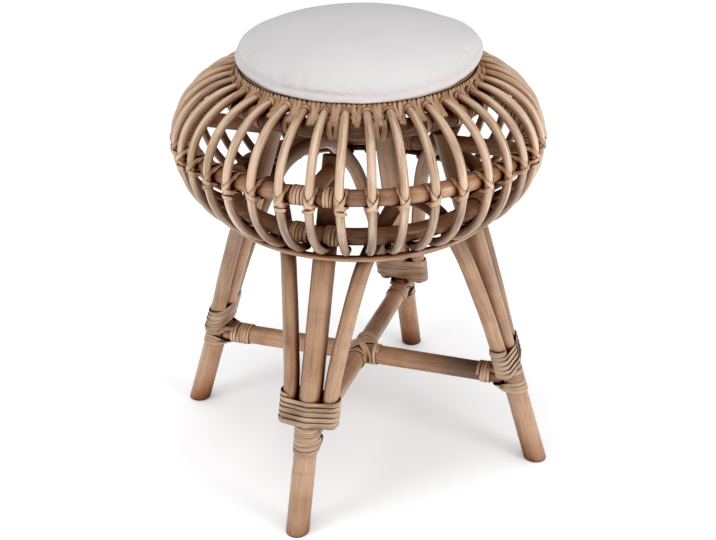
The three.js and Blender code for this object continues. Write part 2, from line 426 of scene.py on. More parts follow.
def ramp(node, fac, stops, interpolation="LINEAR"):
    n = node("ValToRGB", {"Fac": fac})
    n.color_ramp.interpolation = interpolation
    e = n.color_ramp.elements
    while len(e) < len(stops):
        e.new(0.5)
    for item, (at, colour) in zip(e, stops):
        item.position = at
        c = colour if hasattr(colour, "__len__") else (colour,) * 3
        item.color = (*c[:3], 1)
    return n.outputs["Color"]


def mix(node, fac, a, b, how="MIX"):
    n = node("Mix", data_type="RGBA", blend_type=how, clamp_result=False)
    for key, value in ((0, fac), (6, a), (7, b)):
        s = n.inputs[key]
        if isinstance(value, bpy.types.NodeSocket):
            n.id_data.links.new(value, s)
        else:
            s.default_value = value if key == 0 else (*value[:3], 1)
    return n.outputs[2]


def calc(node, how, a, b=0.0, c=0.0):
    return node("Math", {0: a, 1: b, 2: c}, operation=how).outputs[0]


def spread(node, value, a0, a1, b0, b1):
    return node("MapRange", {"Value": value, "From Min": a0, "From Max": a1, "To Min": b0, "To Max": b1}).outputs[0]


def rattan(name, pale, mid, deep, gloss=0.40, coat=0.18, peel=False, streaks=1.0, pits=1.0, edge=0.0):
    """Varnished cane: long fibres and streaks that run along each rod, patches, and dark joint rings."""
    m, bsdf, node = graph(name)
    rod = node("Attribute", attribute_name="rod").outputs["Vector"]
    tint = node("Attribute", attribute_name="tint").outputs["Fac"]
    joint = node("Attribute", attribute_name="joint").outputs["Fac"]
    tone = node("Attribute", attribute_name="tone").outputs["Fac"]
    shift = node("VectorMath", {0: (13.1, 29.7, 7.3), "Scale": tint}, operation="SCALE").outputs[0]

    def noise(stretch, scale, detail, rough=0.55, twist=0.0):
        v = node("VectorMath", {0: rod, 1: stretch}, operation="MULTIPLY").outputs[0]
        v = node("VectorMath", {0: v, 1: shift}, operation="ADD").outputs[0]
        return node("TexNoise", {"Vector": v, "Scale": scale, "Detail": detail, "Roughness": rough,
                                 "Distortion": twist}, noise_dimensions="3D").outputs["Fac"]

    fibre = noise((1, 1, 0.035), 1500.0, 3.0, 0.65)
    streak = noise((1, 1, 0.07), 330.0, 3.0, 0.6, 0.3)
    patch = noise((0.35, 0.35, 1), 26.0, 2.0)
    fleck = noise((1, 1, 0.45), 620.0, 2.0)
    broad = ramp(node, patch, [(0.34, deep), (0.5, mid), (0.66, pale)])
    line = ramp(node, streak, [(0.34, deep), (0.47, mid), (0.58, pale)])
    colour = mix(node, 0.55 * streaks, broad, line)
    colour = mix(node, 1.0, colour, ramp(node, fibre, [(0.30, 0.80), (0.5, 1.0), (0.72, 1.10)]), "MULTIPLY")
    colour = mix(node, ramp(node, fleck, [(0.24, 0.45 * pits), (0.34, 0.0)]), colour, [0.55 * x for x in deep])
    # each piece is its own cane
    own = node("TexWhiteNoise", {"W": tint}, noise_dimensions="1D").outputs["Value"]
    colour = mix(node, 1.0, colour, ramp(node, own, [(0.0, (0.86, 0.84, 0.82)), (0.5, (1.0, 0.99, 0.97)),
                                                     (1.0, (1.10, 1.10, 1.11))]), "MULTIPLY")
    colour = mix(node, calc(node, "MULTIPLY", joint, 0.30), colour, [0.5 * x for x in deep])
    # tone: stretches that took more or less stain, and on some pieces painted shade and light (ribs, legs, arches,
    # upper ring, one stretcher, the dark strip under the rim)
    colour = mix(node, spread(node, tone, 0.0, 1.0, 0.0, 1.0), colour, [min(0.92, 1.16 * x) for x in pale])
    colour = mix(node, spread(node, tone, 0.0, -1.0, 0.0, 0.93), colour, [0.30 * x for x in deep])
    pale_line = noise((1, 1, 0.05), 620.0, 2.0, 0.6)
    colour = mix(node, spread(node, pale_line, 0.57, 0.72, 0.0, 0.30 * streaks), colour, [min(0.9, 1.28 * x) for x in pale])
    # painted shade: the colour darkens where the AO finds rods close and, more broadly, deep inside the basket; coat
    # and gloss are turned down in the same places
    near = node("AmbientOcclusion", {"Distance": 0.04}, samples=6).outputs["AO"]
    if peel:
        shade = ramp(node, near, [(0.0, (0.34, 0.18, 0.10)), (0.35, (0.64, 0.46, 0.34)), (0.62, (0.88, 0.77, 0.68)),
                                  (0.9, (1.0, 1.0, 1.0))])
    else:
        shade = ramp(node, near, [(0.0, (0.12, 0.055, 0.03)), (0.35, (0.30, 0.165, 0.105)), (0.62, (0.66, 0.51, 0.405)),
                                  (0.9, (1.0, 1.0, 1.0))])
    colour = mix(node, 1.0, colour, shade, "MULTIPLY")
    inner = node("AmbientOcclusion", {"Distance": 0.16}, samples=6).outputs["AO"]
    painted_basket_shade = ramp(node, inner, [(0.1, (0.24, 0.115, 0.065)), (0.38, (0.48, 0.305, 0.21)), (0.56, (0.85, 0.74, 0.65)),
                              (0.72, (1.0, 1.0, 1.0))])
    colour = mix(node, 1.0, colour, painted_basket_shade, "MULTIPLY")
    open_air = calc(node, "MULTIPLY", spread(node, near, 0.35, 0.85, 0.0, 1.0), spread(node, inner, 0.42, 0.74, 0.0, 1.0))
    if peel:  # the cut sides of a strip show raw, darker fibre
        part = node("SeparateXYZ", {0: rod})
        x = calc(node, "ABSOLUTE", part.outputs[0])
        sides = spread(node, x, 0.00125, 0.0021, 0.0, edge)
        colour = mix(node, sides, colour, [0.5 * q for q in deep])
    bsdf.inputs["Base Color"].default_value = (*mid, 1)
    nt = m.node_tree
    nt.links.new(colour, bsdf.inputs["Base Color"])
    nt.links.new(spread(node, calc(node, "ADD", streak, fibre), 0.7, 1.3, gloss + 0.08, gloss - 0.08),
                 bsdf.inputs["Roughness"])
    nt.links.new(calc(node, "MULTIPLY", open_air, coat), bsdf.inputs["Coat Weight"])
    bsdf.inputs["Coat Roughness"].default_value = 0.18
    nt.links.new(calc(node, "MULTIPLY", open_air, 0.45), bsdf.inputs["Specular IOR Level"])
    height = calc(node, "MULTIPLY_ADD", fibre, 0.6, streak)
    bump = node("Bump", {"Height": height, "Strength": 0.35, "Distance": 0.00035})
    nt.links.new(bump.outputs[0], bsdf.inputs["Normal"])
    return m


RIB_CANE = rattan("rib_cane", (0.76, 0.56, 0.405), (0.60, 0.395, 0.255), (0.37, 0.19, 0.095), 0.34, 0.9,
                  streaks=1.6)
POLE_CANE = rattan("pole_cane", (0.60, 0.38, 0.245), (0.50, 0.295, 0.175), (0.35, 0.18, 0.09), 0.38, 0.3, streaks=0.75)
CROSS_CANE = rattan("stretcher_cane", (0.62, 0.38, 0.24), (0.51, 0.285, 0.165), (0.33, 0.155, 0.075), 0.40, 0.25,
                    streaks=0.9)
ARCH_CANE = rattan("arch_cane", (0.55, 0.345, 0.215), (0.44, 0.255, 0.148), (0.29, 0.145, 0.075), 0.40, 0.25, streaks=0.8)
RING_CANE = rattan("ring_cane", (0.60, 0.36, 0.205), (0.42, 0.215, 0.108), (0.20, 0.085, 0.038), 0.28, 0.55)
PEEL_CANE = rattan("peel_cane", (0.70, 0.50, 0.345), (0.58, 0.38, 0.24), (0.37, 0.195, 0.10), 0.40, 0.3, peel=True,
                   streaks=1.6, edge=0.12)

# ---------------------------------------------------------------- ribs
PHASE = 0.4


def rib_point(a, reach=REACH):
    a = np.radians(a)
    return ARC_R + reach * np.cos(a), ARC_Z + np.where(np.sin(a) > 0, RISE, DROP) * np.sin(a)


rib_az, rib_rods = [], []
for k in range(RIBS):
    d = random.Random(400 + k)
    az = 9 * (k + 0.5) + PHASE + d.uniform(-0.28, 0.28)
    a = np.linspace(TOP_A, TIP_A + d.uniform(-0.8, 1.6), 74)
    r, z = rib_point(a, REACH + d.uniform(-0.35, 0.35))
    lean = d.uniform(-0.35, 0.35) * (a / 90) + 0.22 * waver(a, 900 + k, 95, 160)
    er, et = polar(az, 1), polar(az + 90, 1)
    u = np.radians(lean) * r
    line = r[:, None] * er + u[:, None] * et + np.stack([0 * z, 0 * z, z], 1)
    s = lengths(line)
    size = RIB_R * (1 + 0.018 * waver(s, 700 + k, 37, 88)) * (1 - 0.09 * np.clip((s - s[-1] + 16) / 16, 0, 1))
    joint = np.zeros(len(s))
    for _ in range(d.choice((0, 1, 1, 2))):
        at = d.uniform(20, s[-1] - 20)
        near = np.exp(-((s - at) / 2.6) ** 2)
        size = size + 0.14 * near
        joint = np.maximum(joint, 0.4 * near)
    pile = Pile()
    # painted light and shade along the bow: darker low down, lighter just above the waist; the waver and the per-rib
    # offset are random stain
    tone = np.interp(a, [-82, -60, -25, -6, 8, 32, 52, 92], [-0.72, -0.55, -0.26, 0.08, 0.44, 0.44, 0.32, 0.16]) - 0.14
    tube(pile, line, size, 18, ends=("round", "round"), ref=er, tint=d.random(), joint=joint,
         tone=tone + 0.16 * waver(a, 1700 + k, 50, 120) + d.uniform(-0.16, 0.12))
    pile.make("rattan_rib_%02d" % (k + 1), RIB_CANE, replaces=["rib_%02d" % (k + 1)])
    rib_az.append(az)
    rib_rods.append(Rod(line, RIB_R))


# ---------------------------------------------------------------- rings
def ring_line(r, z, seed, wobble=0.35, count=240, start=0.0, span=360.0):
    deg = start + np.linspace(0, span, count, endpoint=span < 359.9)
    rr = r + wobble * waver(deg, seed, 360, 180, 90)
    zz = z + wobble * waver(deg, seed + 1, 360, 120)
    return np.stack([rr * np.cos(np.radians(deg)), rr * np.sin(np.radians(deg)), zz], 1), deg


def ring(name, spec, seed, node, sides=22, joints=(), wobble=0.35, tone=None, lift=None):
    r, z, rad = spec
    line, deg = ring_line(r, z, seed, wobble)
    if lift is not None:
        line = line + lift(deg)
    s = np.radians(deg) * r
    size = rad * (1 + 0.012 * waver(deg, seed + 2, 360 / 5, 360 / 11))
    joint = np.zeros(len(deg))
    for at in joints:
        gap = (deg - at + 180) % 360 - 180
        near = np.exp(-(np.radians(gap) * r / 2.4) ** 2)
        size = size + 0.018 * rad * near
        joint = np.maximum(joint, 0.9 * near)
    pile = Pile()
    shade = -0.45 if tone is None else tone(deg)
    tube(pile, line, size, sides, closed=True, ref=(0, 0, 1), tint=random.Random(seed).random(), joint=joint,
         tone=shade + 0.1 * waver(deg, seed + 7, 40, 90, 120))
    pile.make(name, RING_CANE, replaces=[node])
    return Rod(np.vstack([line, line[:1]]), rad)


waist_rod = ring("waist_pole", WAIST, 21, "waist_ring", joints=(-95, -30, 42, 118, 190, 236),
                 tone=lambda f: -0.1 + 0.3 * waver(f, 77, 60, 90, 120))
lower_rod = ring("lower_pole", LOWER, 31, "lower_ring", joints=(-70, 25, 140, 215), tone=lambda f: -0.42 + 0 * f)
# painted shade: the upper ring, under the seat, is made darker all round
upper_rod = ring("upper_pole", UPPER, 41, "top_ring", joints=(-60, 75, 200),
                 tone=lambda f: -0.72 + 0 * f)
hoop_rod = ring("base_hoop", HOOP, 51, "bottom_hoop", sides=16, joints=(-40, 100), wobble=0.3,
                tone=lambda f: -0.1 + 0.15 * waver(f, 79, 60, 90, 120),
                lift=lambda g: np.stack([2.4 * np.cos(np.radians(63.9)) + 2.2 * np.cos(np.radians(g)) * np.cos(np.radians((g - 63.9) / 2)) ** 2,
                                         2.4 * np.sin(np.radians(63.9)) + 2.2 * np.sin(np.radians(g)) * np.cos(np.radians((g - 63.9) / 2)) ** 2,
                                         2.6 * np.cos(np.radians((g - 63.9) / 2)) ** 2], 1))

# ---------------------------------------------------------------- legs, arches and stretchers
leg_rods, leg_joints = {}, {"front_left": (232, 64), "front_right": (196, 30), "back_right": (262, 78),
                            "back_left": (216, 51)}
for name, deg in LEGS.items():
    z = np.unique(np.concatenate([[2.4], np.linspace(6, LEG_TOP - 1.6, 110)]
                                 + [np.linspace(at - 6, at + 6, 17) for at in leg_joints[name]]))
    line = np.array([by_leg(deg, q) for q in z])
    size = (25 - 1.0 * z / LEG_TOP) / 2 * (1 + 0.008 * waver(z, deg + 600, 140, 260))
    joint = np.zeros(len(z))
    for at in leg_joints[name]:
        size = size + 0.16 * np.exp(-((z - at) / 4.0) ** 2) - 0.10 * np.exp(-((z - at - 1.2) / 0.8) ** 2)
        joint = np.maximum(joint, 0.5 * np.exp(-((z - at - 1.2) / 1.0) ** 2))
    # the cut at the floor, its edge rubbed round
    axis = unit(line[1] - line[0])
    foot_z = np.array([0.02, 0.25, 0.9])
    foot = np.array([by_leg(deg, q) for q in foot_z])
    line = np.vstack([foot, line])
    size = np.concatenate([size[0] * np.array([0.86, 0.945, 0.985]), size])
    joint = np.concatenate([[0.5, 0.35, 0.2], joint])
    pile = Pile()
    # painted shade: the leg darkens high up inside the basket; it is also a little lighter near the floor
    tone = np.interp(line[:, 2], [0, 30, 250, 290, 316, 400], [0.12, 0.04, 0.0, -0.12, -0.55, -0.6])
    tube(pile, line, size, 28, ends=("none", "cut"), ref=polar(deg, 1), tint=random.Random(deg + 999).random(),
         joint=joint, level=True, tone=tone)
    pile.make("pole_leg_" + name, POLE_CANE, replaces=["leg_" + name])
    leg_rods[name] = Rod(line, 12.3)
    # the level pole from the head of the leg to the waist ring, its end cut where it meets the ring
    x = np.linspace(4, 172.6 - (FOOT_R - LEAN * SPUR_Z), 24)
    line = np.array([by_leg(deg, SPUR_Z, 0, q) for q in x])
    pile = Pile()
    tube(pile, line, SPUR_R * (1 + 0.012 * waver(x, deg + 71, 60, 110)), 20, ends=("none", "cut"), ref=(0, 0, 1),
         tint=random.Random(deg + 555).random(), tone=-0.3)
    pile.make("waist_spur_" + name, ARCH_CANE)

arch_rods = {}
for n, (name, start) in enumerate(ARCHES.items()):
    rise = [by_leg(start, z, aside, out) for z, aside, out in ARCH_FOOT]
    crown = [polar(start + 48 + d, r + bow * ARCH_BOW[name], z) for d, r, z, bow in ARCH_CROWN]
    fall = [by_leg(start + 90, z, -aside, out) for z, aside, out in ARCH_FOOT][::-1]
    line = resample(smooth(rise + crown + fall, 12), 4.2)
    s = lengths(line)
    size = 8.5 * (1 + 0.012 * waver(s, 60 + n, 83, 190))
    joint = np.zeros(len(s))
    d = random.Random(80 + n)
    for at in (d.uniform(50, 130), d.uniform(230, 330), d.uniform(430, 520)):
        near = np.exp(-((s - at) / 3.6) ** 2)
        size = size + 0.14 * near
        joint = np.maximum(joint, 0.4 * near)
    pile = Pile()
    # painted shade: the arch darkens towards its crown, inside the basket
    tube(pile, line, size, 22, ends=("cut", "cut"), tint=d.random(), joint=joint,
         tone=np.interp(line[:, 2], [110, 250, 285, 312, 350], [0, -0.05, -0.25, -0.6, -0.7]))
    pile.make("bent_arch_" + name, ARCH_CANE, replaces=["arch_" + name])
    arch_rods[name] = Rod(line, 8.5)

cross_rods = {}
for n, (a, b) in enumerate((("front_left", "back_right"), ("front_right", "back_left"))):
    p0, p1 = by_leg(LEGS[a], CROSS_Z), by_leg(LEGS[b], CROSS_Z)
    span = np.linalg.norm(p1 - p0)
    way = (p1 - p0) / span
    s = np.unique(np.concatenate([np.linspace(9.5, span - 9.5, 90)]
                                 + [np.linspace(at - 6, at + 6, 13) for at in ((96, 262), (70, 243))[n]]))
    line = p0 + s[:, None] * way
    size = 11 * (1 + 0.01 * waver(s, 90 + n, 120, 210))
    joint = np.zeros(len(s))
    for at in ((96, 262), (70, 243))[n]:
        size = size + 0.15 * np.exp(-((s - at) / 4.0) ** 2) - 0.1 * np.exp(-((s - at - 1.2) / 0.8) ** 2)
        joint = np.maximum(joint, 0.5 * np.exp(-((s - at - 1.2) / 1.0) ** 2))
    pile = Pile()
    # painted shade: the front_right to back_left stretcher darkens near its front_right end
    tube(pile, line, size, 26, ends=("none", "none"), ref=(0, 0, 1), tint=0.31 + 0.4 * n, joint=joint,
         tone=-0.95 * n * np.exp(-((s - 42) / 60) ** 2))
    node = "stretcher_%s_to_%s" % (a, b)
    pile.make("cross_pole_%s_to_%s" % (a, b), CROSS_CANE, replaces=[node])
    cross_rods[n] = Rod(line, 11)

# ---------------------------------------------------------------- waist: a crossed lashing on every rib
X_LASH = [(-4.2, 9.0, -0.5), (-4.6, 8.7, 4.5), (-4.9, 6.6, 10.2), (-3.8, 2.6, 16.0), (0, -2.0, 18.2),
          (3.2, -4.8, 16.2), (5, -7.6, 10.3), (4.8, -9.2, 4), (4.4, -9.3, -0.5), (4.2, -5.5, -7.3), (4.2, 0, -9.1),
          (4.2, 5.5, -7.3), (4.2, 9.0, -0.5), (4.6, 8.7, 4.5), (4.9, 6.6, 10.2), (3.8, 2.6, 16.6), (0, -2.0, 19.0),
          (-3.2, -4.8, 16.5), (-5, -7.6, 10.3), (-4.8, -9.2, 4), (-4.4, -9.3, -0.5), (-4.2, -5.5, -7.3),
          (-4.2, 0, -9.1), (-4.2, 5.5, -7.3)]
for k in range(RIBS):
    d = random.Random(1300 + k)
    az = rib_az[k]
    er, et = polar(az, 1), polar(az + 90, 1)
    turn = 1 if d.random() < 0.5 else -1
    drop = d.uniform(-1.0, 0.6)

    def at_waist(u, v, w):
        return (WAIST[0] + w) * er + turn * u * et + np.array([0, 0, WAIST[1] + v + (drop if w > 9 else 0)])

    pile = Pile()
    near = [rib_rods[k], waist_rod]
    ctrl = [at_waist(*c) for c in X_LASH]
    if turn < 0:
        ctrl = ctrl[::-1]
    lash(pile, ctrl, near, True, 0.1, d.uniform(4.4, 5.1), 0.7, tone=0.12)
    # a strip laid across the ring behind the rib's foot, and a trimmed end under some crossings
    if d.random() < 0.5:
        low = -9.9 + d.uniform(-0.8, 0.8)
        tail = [(-4.4, low + 1.6, 8.6), (-4.9, low + 0.9, 11.5), (-4.0, low + 0.2, 16.4), (0, low - 0.4, 18.4),
                (3.7, low - 0.9, 17.0), (5.2, low - 1.5, 14.8), (6.2 + d.uniform(0, 1.0), low - 1.9, 13.6)]
        ctrl = [at_waist(*c) for c in tail]
        lash(pile, ctrl if turn > 0 else ctrl[::-1], near, False, 0.25, d.uniform(3.8, 4.8), 0.8)
    pile.make("waist_lashing_%02d" % (k + 1), PEEL_CANE)


def ring_place(spec, sign=1):
    """Discs drawn across a ring: height along the ring is in mm, the directions are outwards and up."""
    def place(h):
        deg = math.degrees(h / spec[0])
        return polar(deg, spec[0], spec[1]), polar(deg, 1), np.array([0, 0, 1.0])
    return place


# scarf joints in the waist ring are bound with narrow strips
for n, (deg, turns) in enumerate(((-134.1, 4.4), (-124.3, 4.4), (41.0, 4.4), (50.5, 4.0))):
    pile = Pile()
    pitch = 3.5
    start = math.radians(deg) * WAIST[0] - turns * pitch / 2
    coil(pile, [(0, 0, 8.75)], ring_place(WAIST), start, turns, pitch, 3.4, 1.1, phase=0.6, seed=40 + n)
    pile.make("waist_joint_binding_%d" % (n + 1), PEEL_CANE)

for n, deg in enumerate((-164.0, -67.5, 22.0, 118.0)):
    pile = Pile()
    start = math.radians(deg) * UPPER[0] - 7
    coil(pile, [(0, 0, 9.3)], ring_place(UPPER), start, 4.3, 3.5, 3.4, 1.0, phase=0.3, seed=80 + n)
    pile.make("upper_joint_binding_%d" % (n + 1), PEEL_CANE)

# ---------------------------------------------------------------- top: strips over each rib and round the ring under it
for k in range(RIBS):
    d = random.Random(2100 + k)
    az = rib_az[k]
    er, et = polar(az, 1), polar(az + 90, 1)
    rods = [rib_rods[k], upper_rod]

    def p(u, r, z):
        return r * er + u * et + np.array([0, 0, z])

    pile = Pile()
    for n, (a, far, width) in enumerate(((83.0, 6.7, 4.6), (86.4, 9.2, 5.4))):
        a += d.uniform(-0.6, 0.6)
        rc, zc = (float(q) for q in rib_point(a))
        half = []
        for hand in (1, -1):
            f = far + d.uniform(-0.6, 0.5)
            skew = d.uniform(-0.8, 0.8)
            row = [(4.2, rc + skew * 0.5, zc + 2.8), (5.5, rc + 0.8 + skew, zc - 0.6), (0.45 * 5.5 + 0.55 * f, 0.6 * rc + 0.4 * 129.5, zc - 4.4),
                   (f, 128.6, 437.4), (f, 127.3, 431), (f - 0.3, 130.2, 423.8), (f - 0.8, 137, 421.2)]
            if n and (hand > 0) == (k % 2 > 0):
                row += [(f - 0.4, 143.8, 424.4), (f - 1.4, 146.4, 431), (f - 2.8, 143.6, 437.6), (f - 3.6, 138.6, 440.1),
                        (f - 3.8, 133.5, 439.4), (f - 3.9, 130.0, 436.2)]
            half.append([p(hand * u, r, z) for u, r, z in row])
        lash(pile, half[0][::-1] + [p(0, rc, zc + 5)] + half[1], rods, False, 0.12 + 0.3 * n, width + d.uniform(-0.3, 0.4), 0.75)
    # strips from the rim in the gap beside the rib, drawn together over the ring
    em, eu = polar(az + 4.5, 1), polar(az + 94.5, 1)
    for m, (u0, u1) in enumerate(((-7.2, -2.2), (7.2, 2.4), (-2.5, -0.6), (2.6, 0.9))):
        u0, u1 = u0 + d.uniform(-0.4, 0.4), u1 + d.uniform(-1.2, 1.2)
        dip, out_r = d.uniform(-2.2, 1.6), 0.25 * (m % 2)
        row = [(u0, 126.2 + out_r, 455.0), (u0, 126.9 + out_r, 452.6), (u0, 127.7 + out_r, 449.8), (0.72 * u0 + 0.28 * u1, 130.6, 446.6),
               (u1 + 0.28 * (u0 - u1), 135.0, 442.8), (u1, 139.6, 440.4), (0.9 * u1, 143.6 + 0.4 * dip, 437.3 + dip),
               (0.7 * u1, 143.2, 434.6 + dip), (0.5 * u1, 140.0, 433.5 + dip)]
        path = smooth([r * em + u * eu + np.array([0, 0, z]) for u, r, z in row], 6)
        out = np.cross(np.gradient(path, axis=0), np.broadcast_to(eu, path.shape))
        out = out * np.sign(out[:, 2:3] + 1e-9 + 0.4 * (out @ em)[:, None])
        strip(pile, path, out, d.uniform(4.5, 5.2), 0.7, tone=0.14)
    # painted shade: a wide, very dark strip laid behind the gap strips, standing for the shade under the rim
    path = smooth([r * em + np.array([0, 0, z]) for r, z in ((122.8, 450.4), (125.4, 449.6), (129.2, 444.6), (134.0, 441.0),
                                                              (138.5, 440.3), (141.5, 439.0))], 5)
    out = np.cross(np.gradient(path, axis=0), np.broadcast_to(eu, path.shape))
    strip(pile, path, out * np.sign(out[:, 2:3] + 1e-9), 13.6, 0.5, tone=-0.85, taper=False)
    pile.make("rim_lashing_%02d" % (k + 1), PEEL_CANE)

# ---------------------------------------------------------------- seat board with its cane rim
def plywood():
    m, bsdf, node = graph("seat_board")
    pos = node("TexCoord").outputs["Object"]
    v = node("VectorMath", {0: pos, 1: (1.0, 0.07, 1.0)}, operation="MULTIPLY").outputs[0]
    grain = node("TexNoise", {"Vector": v, "Scale": 160.0, "Detail": 5.0, "Roughness": 0.6, "Distortion": 0.8}).outputs["Fac"]
    fine = node("TexNoise", {"Vector": v, "Scale": 900.0, "Detail": 3.0}).outputs["Fac"]
    colour = ramp(node, grain, [(0.32, (0.34, 0.21, 0.11)), (0.5, (0.52, 0.36, 0.21)), (0.66, (0.62, 0.46, 0.30))])
    colour = mix(node, 1.0, colour, ramp(node, fine, [(0.3, 0.84), (0.6, 1.05)]), "MULTIPLY")
    m.node_tree.links.new(colour, bsdf.inputs["Base Color"])
    m.node_tree.links.new(spread(node, grain, 0.3, 0.7, 0.62, 0.5), bsdf.inputs["Roughness"])
    bump = node("Bump", {"Height": fine, "Strength": 0.25, "Distance": 0.0003})
    m.node_tree.links.new(bump.outputs[0], bsdf.inputs["Normal"])
    return m


def steel():
    m, bsdf, node = graph("screw_steel")
    pos = node("TexCoord").outputs["Object"]
    spots = node("TexNoise", {"Vector": pos, "Scale": 900.0, "Detail": 3.0}).outputs["Fac"]
    colour = ramp(node, spots, [(0.35, (0.38, 0.36, 0.33)), (0.65, (0.62, 0.60, 0.57))])
    m.node_tree.links.new(colour, bsdf.inputs["Base Color"])
    m.node_tree.links.new(spread(node, spots, 0.3, 0.7, 0.42, 0.28), bsdf.inputs["Roughness"])
    bsdf.inputs["Metallic"].default_value = 1.0
    return m


BOARD, STEEL = plywood(), steel()


def lathe(name, profile, sides, material, body="frame", replaces=(), centre=(0, 0)):
    """A turned shape: profile rows are (radius, height), closed on the axis at both ends."""
    v, f = [], []
    rings = []
    for r, z in profile:
        if r < 1e-6:
            rings.append([len(v)])
            v.append((centre[0], centre[1], z))
        else:
            rings.append(list(range(len(v), len(v) + sides)))
            for j in range(sides):
                a = 2 * math.pi * j / sides
                v.append((centre[0] + r * math.cos(a), centre[1] + r * math.sin(a), z))
    for a, b in zip(rings, rings[1:]):
        for j in range(sides):
            j2 = (j + 1) % sides
            if len(a) == 1:
                f.append((a[0], b[j2], b[j]))
            elif len(b) == 1:
                f.append((a[j], a[j2], b[0]))
            else:
                f.append((a[j], a[j2], b[j2], b[j]))
    me = bpy.data.meshes.new(name)
    me.from_pydata([(x * K, y * K, z * K) for x, y, z in v], [], f)
    me.polygons.foreach_set("use_smooth", np.ones(len(me.polygons), bool))
    me.update()
    return settle(bpy.data.objects.new(name, me), material, body, replaces)


lathe("seat_board", [(0, PANEL_LOW), (60, PANEL_LOW), (122.2, PANEL_LOW), (123.0, PANEL_LOW + 0.25), (123.3, PANEL_LOW + 0.9),
                     (123.3, PANEL_HIGH - 0.9), (123.0, PANEL_HIGH - 0.25), (122.2, PANEL_HIGH), (60, PANEL_HIGH),
                     (0, PANEL_HIGH)], 120, BOARD, replaces=["seat_panel"])
pile = Pile()
line, deg = ring_line(124.9, 453.4, 61, 0.1, 200)
tube(pile, line, 1.3, 10, closed=True, ref=(0, 0, 1), tint=0.77)
pile.make("rim_cane", RIB_CANE)
for n, deg in enumerate((-135, -45, 45, 135)):
    c = polar(deg + 3, 83)
    lathe("seat_screw_%d" % (n + 1), [(0, PANEL_HIGH - 1.2), (3.4, PANEL_HIGH - 1.2), (3.9, PANEL_HIGH - 0.2), (3.7, PANEL_HIGH + 0.12),
                                      (2.6, PANEL_HIGH + 0.26), (1.5, PANEL_HIGH + 0.26), (1.3, PANEL_HIGH - 0.5),
                                      (0, PANEL_HIGH - 0.8)], 24, STEEL, centre=c[:2])

# ---------------------------------------------------------------- lower ring ties, at both sides of each leg
for n, (name, deg) in enumerate(LEGS.items()):
    pile = Pile()
    for side in (-1, 1):
        turns = 4.4 if side < 0 else 4.0
        start = math.radians(deg + 1.0 + 7.2 * side) * LOWER[0] - turns * 3.7 / 2
        coil(pile, [(0, 0, 9.3)], ring_place(LOWER), start, turns, 3.7, 3.6, 1.15, phase=0.4 + 0.5 * side, seed=300 + 2 * n + side)
    pile.make("lower_ring_tie_" + name, PEEL_CANE)

# ---------------------------------------------------------------- bands round each leg and its two arch feet
for n, (name, deg) in enumerate(LEGS.items()):
    er, et = polar(deg, 1), polar(deg + 90, 1)
    discs = [(0, 0, 12.6), (0, 23.9, 8.6), (0, -23.9, 8.6)]

    def beside(h):
        return by_leg(deg, h), er, et

    pile = Pile()
    d = random.Random(3600 + n)
    start = 117.4
    turns = 5.3
    coil(pile, discs, beside, start, turns, 5.3, 6.15, 0.85, phase=0.55, grow=0.15, count=110, seed=60 + n, tone=-0.36)
    pile.make("leg_band_" + name, PEEL_CANE, replaces=["binding_" + name])

    # the leg and stretcher joint under the band
    pole = cross_rods[0] if name in ("front_left", "back_right") else cross_rods[1]
    rods = [leg_rods[name], pole]
    way = -er
    pile = Pile()

    def j(out, u, z):
        o = by_leg(deg, CROSS_Z)
        return o + out * er + u * et + np.array([-er[0] * LEAN * (z - CROSS_Z), -er[1] * LEAN * (z - CROSS_Z), z - CROSS_Z])

    # turns laid close down the outer face: the upper ones pass over the stretcher, the lower ones under it
    for i in range(6):
        over = i < 3
        zf = 10.4 - 4.75 * i + d.uniform(-0.2, 0.2)
        hand = 1 if over else -1
        back = 14.5 + 3.6 * (2 - i if over else i - 3)
        zb = hand * 12.2
        half = [(13.3, 0, zf), (11.0, 7.5, zf), (5.8, 12.0, zf), (-1.5, 13.4, 0.93 * zf + 0.07 * zb), (-8.5, 13.0, 0.62 * zf + 0.38 * zb),
                (-0.78 * back, 11.2, 0.25 * zf + 0.75 * zb * 0.8), (-back, 7.2, 0.85 * zb)]
        loop = [j(a, b, CROSS_Z + c) for a, b, c in half] + [j(-back - 0.6, 0, CROSS_Z + zb)] + \
            [j(a, -b, CROSS_Z + c) for a, b, c in half[:0:-1]]
        lash(pile, loop, rods, True, 0.12 + 0.1 * (i % 2), d.uniform(4.8, 5.3), 0.8, rounds=3, tone=-0.3)
    # the collar on the stretcher
    o0 = by_leg(deg, CROSS_Z)

    def along(h):
        return o0 - h * er, et, np.array([0, 0, 1.0])

    turns = {"back_left": 6.3, "front_right": 3.3, "front_left": 4.3, "back_right": 3.3}[name]
    coil(pile, [(0, 0, 11.15)], along, 19.0 if name == "back_left" else 25.0, turns, 4.0, 3.9, 1.1, phase=0.2, grow=0.15, seed=160 + n)
    pile.make("joint_lashing_" + name, PEEL_CANE)

# ---------------------------------------------------------------- lashing where the stretchers cross
pile = Pile()
a_way = unit(by_leg(45, CROSS_Z) - by_leg(-135, CROSS_Z))
b_way = unit(by_leg(135, CROSS_Z) - by_leg(-45, CROSS_Z))
rods = [cross_rods[0], cross_rods[1]]
mid = np.array([0, 0, CROSS_Z])
for n, (x, y) in enumerate(((a_way, b_way), (a_way, -b_way))):
    # two strips side by side over the top of the crossing, from corner to corner, closing underneath
    e = unit(x + y)
    f = unit(x - y)
    for i in (-0.5, 0.5, 1.5):
        if n == 0 and i > 1:
            continue
        off = 4.3 * i
        loop = []
        for t in np.linspace(0, 2 * math.pi, 20, endpoint=False):
            loop.append(mid + e * 17.5 * math.cos(t) + np.array([0, 0, 13.2 * math.sin(t)]) + f * off)
        lash(pile, loop, rods, True, 0.2 + 1.0 * n, 4.3, 1.05, steps=3, rounds=4)


def on_a(h):
    return mid + h * a_way, b_way, np.array([0, 0, 1.0])


def on_b(h):
    return mid + h * b_way, -a_way, np.array([0, 0, 1.0])


